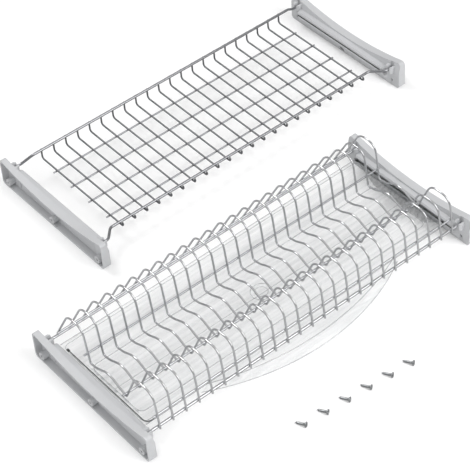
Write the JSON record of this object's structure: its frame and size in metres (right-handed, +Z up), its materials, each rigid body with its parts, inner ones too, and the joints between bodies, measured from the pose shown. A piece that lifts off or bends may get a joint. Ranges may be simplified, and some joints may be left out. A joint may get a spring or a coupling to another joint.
{
  "type": "cabinet dish drainer",
  "caption": "Cabinet dish drainer: a bent-wire plate rack over a clear slide-out drip tray, and a flat wire shelf, each lifted out of sockets in grey side brackets, with loose screws.",
  "frame": {"origin": "middle of the whole group's footprint, on the surface that both tiers stand on", "axes": "+X along the tiers towards the right brackets, +Y from the front to the back of the cabinet, +Z up"},
  "size_m": [0.726, 0.6572, 0.0908],
  "materials": {
    "steel_wire": "satin plated steel wire",
    "grey_plastic": "light grey moulded plastic, fine satin",
    "clear_plastic": "clear thermoformed plastic",
    "screw_steel": "zinc plated"
  },
  "bodies": {
    "side_brackets": {"rack_bracket_left": "grey_plastic", "rack_bracket_right": "grey_plastic", "shelf_bracket_left": "grey_plastic", "shelf_bracket_right": "grey_plastic", "loose_screws": "screw_steel"},
    "drip_tray": {"drip_tray": "clear_plastic"},
    "plate_rack": {"rack_frame_wire_front": "steel_wire", "rack_frame_wire_back": "steel_wire", "rack_rail_front": "steel_wire", "rack_rail_middle": "steel_wire", "rack_rail_valley": "steel_wire", "rack_rail_back": "steel_wire", "rack_wire_01": "steel_wire", "rack_wire_02": "steel_wire", "rack_wire_03": "steel_wire", "rack_wire_04": "steel_wire", "rack_wire_05": "steel_wire", "rack_wire_06": "steel_wire", "rack_wire_07": "steel_wire", "rack_wire_08": "steel_wire", "rack_wire_09": "steel_wire", "rack_wire_10": "steel_wire", "rack_wire_11": "steel_wire", "rack_wire_12": "steel_wire", "rack_wire_13": "steel_wire", "rack_wire_14": "steel_wire", "rack_wire_15": "steel_wire", "rack_wire_16": "steel_wire", "rack_wire_17": "steel_wire", "rack_wire_18": "steel_wire", "rack_wire_19": "steel_wire", "rack_wire_20": "steel_wire", "rack_wire_21": "steel_wire", "rack_wire_22": "steel_wire", "rack_wire_23": "steel_wire", "rack_wire_24": "steel_wire", "rack_wire_25": "steel_wire"},
    "shelf": {"shelf_frame_wire_front": "steel_wire", "shelf_frame_wire_back": "steel_wire", "shelf_cross_wires": "steel_wire", "shelf_long_wire_1": "steel_wire", "shelf_long_wire_2": "steel_wire", "shelf_long_wire_3": "steel_wire", "shelf_long_wire_4": "steel_wire"}
  },
  "joints": [
    {"name": "tray_slide", "type": "slide", "parent": "side_brackets", "child": "drip_tray", "axis": [0, -1, 0], "range_m": [0, 0.2]},
    {"name": "plate_rack_lift", "type": "slide", "parent": "side_brackets", "child": "plate_rack", "axis": [0, 0, 1], "range_m": [0, 0.08]},
    {"name": "shelf_lift", "type": "slide", "parent": "side_brackets", "child": "shelf", "axis": [0, 0, 1], "range_m": [0, 0.08]}
  ]
}
